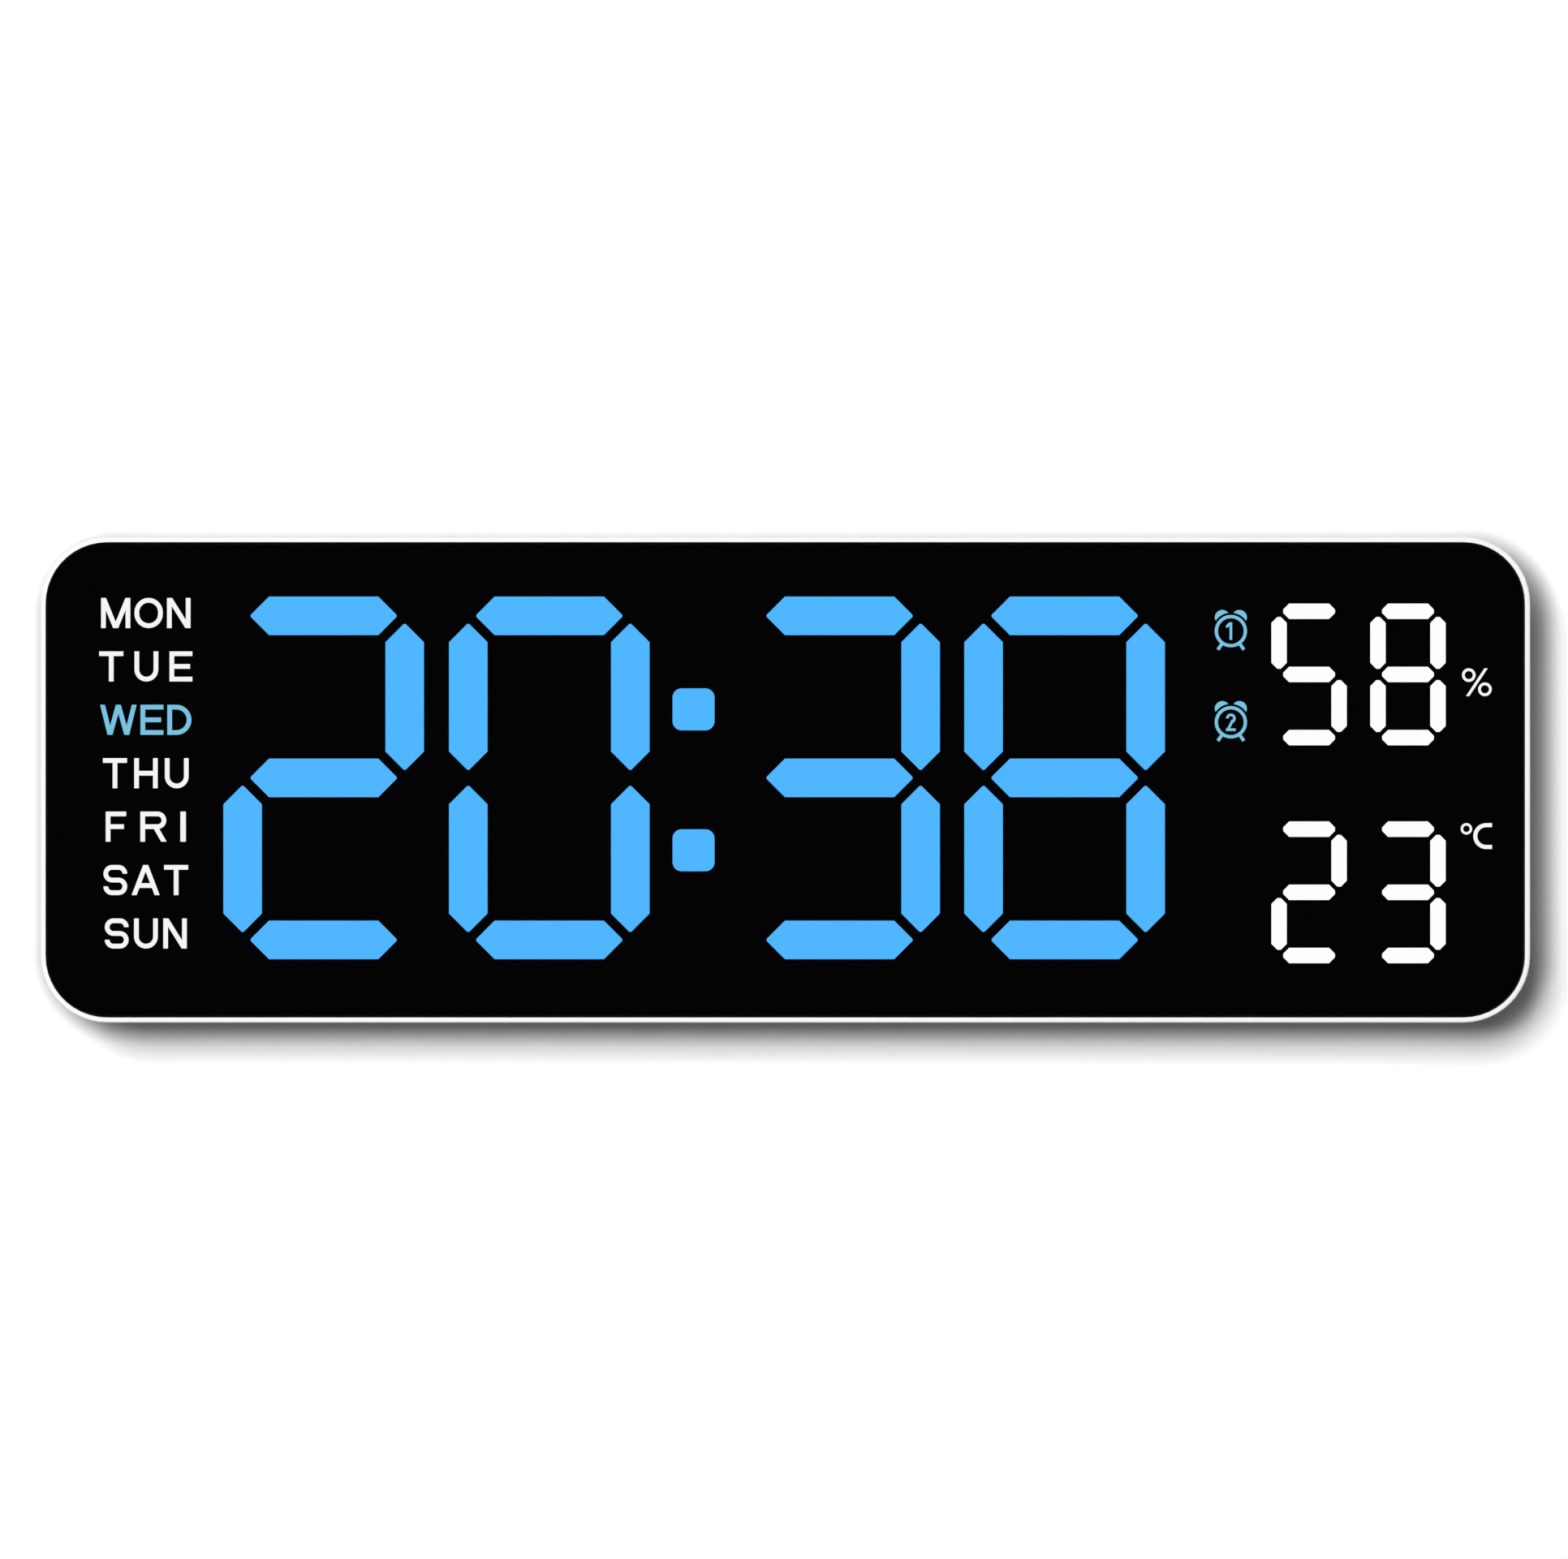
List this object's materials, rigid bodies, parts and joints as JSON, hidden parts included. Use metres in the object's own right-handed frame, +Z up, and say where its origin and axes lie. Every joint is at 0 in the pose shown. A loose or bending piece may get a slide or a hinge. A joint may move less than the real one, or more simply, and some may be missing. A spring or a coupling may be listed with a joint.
{
  "type": "digital wall clock",
  "caption": "Slim rounded wall clock with a lit digital face behind a dark lens, showing time, weekday, humidity and temperature; keyholes, folding stand, rear buttons and battery door.",
  "frame": {"origin": "middle of the flat back, on the wall plane", "axes": "+X to the viewer's right along the clock's length, +Y back into the wall, +Z up; the display faces -Y"},
  "size_m": [0.23, 0.026, 0.075],
  "materials": {
    "white_shell": "moulded white plastic, satin",
    "rear_shell": "moulded white plastic, fine texture",
    "door_shell": "moulded white plastic, fine texture",
    "smoked_lens": "smoked clear acrylic, polished",
    "black_mask": "black film, matt",
    "reflector_white": "moulded white plastic",
    "blue_light": "translucent block lit blue",
    "white_light": "translucent block lit white",
    "pale_blue_light": "translucent block lit pale blue",
    "dark_segment": "smoked translucent block, unlit",
    "circuit_board": "green solder mask",
    "lamp_white": "white lamp bodies with yellowish gel",
    "black_plastic": "black moulded plastic",
    "sensor_grey": "pale grey moulded case",
    "bright_metal": "nickel plated metal",
    "cell_jacket": "plain blue cell jacket",
    "red_lead": "red insulation",
    "black_lead": "black insulation",
    "button_grey": "grey moulded plastic, satin",
    "plunger_white": "white moulded plastic"
  },
  "bodies": {
    "case": {"front_housing": "white_shell", "rear_cover": "rear_shell", "front_lens": "smoked_lens", "display_mask": "black_mask", "lens_adhesive": "black_mask", "reflector_frame": "reflector_white", "hour_tens_segments": "blue_light", "hour_ones_segments": "blue_light", "minute_tens_segments": "blue_light", "minute_ones_segments": "blue_light", "colon_dots": "blue_light", "humidity_segments": "white_light", "temperature_segments": "white_light", "weekday_letters": "white_light", "unit_signs": "white_light", "current_weekday_letters": "pale_blue_light", "alarm_icons": "pale_blue_light", "unlit_segments": "dark_segment", "main_board": "circuit_board", "digit_lamps": "lamp_white", "legend_lamps": "lamp_white", "control_chip": "black_plastic", "driver_chips": "black_plastic", "buzzer": "black_plastic", "switch_bodies": "black_plastic", "power_socket_tongue": "black_plastic", "climate_sensor": "sensor_grey", "clock_crystal": "bright_metal", "capacitors": "bright_metal", "power_socket_shell": "bright_metal", "battery_contacts": "bright_metal", "stand_pin": "bright_metal", "housing_screws": "bright_metal", "board_screws": "bright_metal", "battery_cells": "cell_jacket", "battery_lead_red": "red_lead", "battery_lead_black": "black_lead"},
    "stand": {"stand_leg": "door_shell"},
    "door": {"battery_door": "door_shell"},
    "set_key": {"set_button": "button_grey", "set_plunger": "plunger_white"},
    "up_key": {"up_button": "button_grey", "up_plunger": "plunger_white"},
    "down_key": {"down_button": "button_grey", "down_plunger": "plunger_white"},
    "alarm_key": {"alarm_button": "button_grey", "alarm_plunger": "plunger_white"},
    "snooze_key": {"snooze_button": "button_grey", "snooze_plunger": "plunger_white"}
  },
  "joints": [
    {"name": "stand_hinge", "type": "hinge", "parent": "case", "child": "stand", "pos_m": [0, -0.0023, 0.006], "axis": [1, 0, 0], "range_deg": [0, 50]},
    {"name": "battery_door_hinge", "type": "hinge", "parent": "case", "child": "door", "pos_m": [0.0717, -0.001, 0.01362], "axis": [1, 0, 0], "range_deg": [0, 100]},
    {"name": "set_press", "type": "slide", "parent": "case", "child": "set_key", "axis": [0, -1, 0], "range_m": [0, 0.0004], "stiffness_N_per_m": 400},
    {"name": "up_press", "type": "slide", "parent": "case", "child": "up_key", "axis": [0, -1, 0], "range_m": [0, 0.0004], "stiffness_N_per_m": 400},
    {"name": "down_press", "type": "slide", "parent": "case", "child": "down_key", "axis": [0, -1, 0], "range_m": [0, 0.0004], "stiffness_N_per_m": 400},
    {"name": "alarm_press", "type": "slide", "parent": "case", "child": "alarm_key", "axis": [0, -1, 0], "range_m": [0, 0.0004], "stiffness_N_per_m": 400},
    {"name": "snooze_press", "type": "slide", "parent": "case", "child": "snooze_key", "axis": [0, -1, 0], "range_m": [0, 0.0004], "stiffness_N_per_m": 400}
  ]
}
